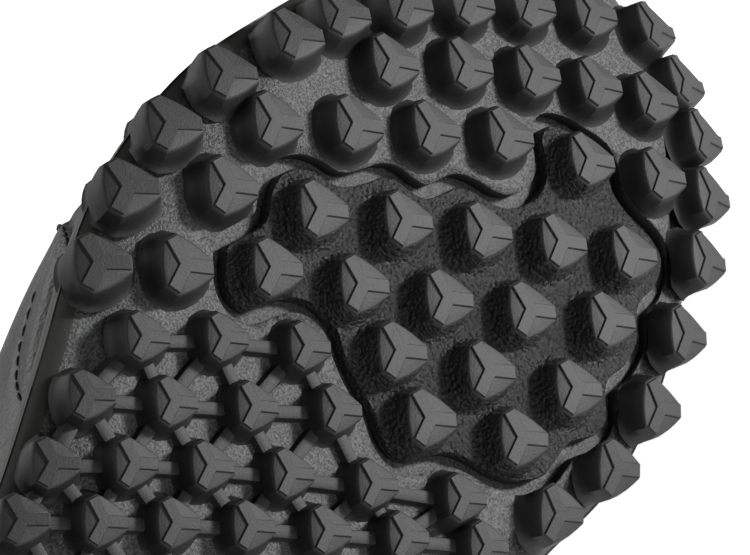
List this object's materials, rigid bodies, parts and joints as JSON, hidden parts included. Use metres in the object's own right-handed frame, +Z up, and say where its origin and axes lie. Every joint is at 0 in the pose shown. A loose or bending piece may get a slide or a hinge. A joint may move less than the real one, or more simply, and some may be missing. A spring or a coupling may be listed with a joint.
{
  "type": "turf shoe",
  "caption": "Lace-up turf shoe for the right foot with a studded rubber cupsole, a grained forefoot insert and a hollow leather upper, lying on its inner side.",
  "frame": {"origin": "centre of the bounding box on the floor that the shoe lies on", "axes": "+X from heel to toe along the floor, +Z up from the floor, the sole faces -Y and the collar opens towards +Y; the shoe's outer side is up"},
  "size_m": [0.2898, 0.1086, 0.103],
  "materials": {
    "moulded_rubber": "moulded black rubber, fine sandy grain between the lugs",
    "grained_rubber": "moulded black rubber with a coarse pebbled grain",
    "upper_leather": "black leather with a fine grain and stitched seams",
    "tongue_leather": "soft black leather, padded",
    "footbed_cloth": "black cloth over foam",
    "lace_weave": "woven black lace"
  },
  "bodies": {
    "root": {"outsole": "moulded_rubber", "forefoot_pod": "grained_rubber", "upper": "upper_leather", "tongue": "tongue_leather", "insole": "footbed_cloth", "lace_bar_1": "lace_weave", "lace_bar_2": "lace_weave", "lace_bar_3": "lace_weave", "lace_bar_4": "lace_weave", "lace_bar_5": "lace_weave", "lace_bar_6": "lace_weave"}
  },
  "joints": []
}
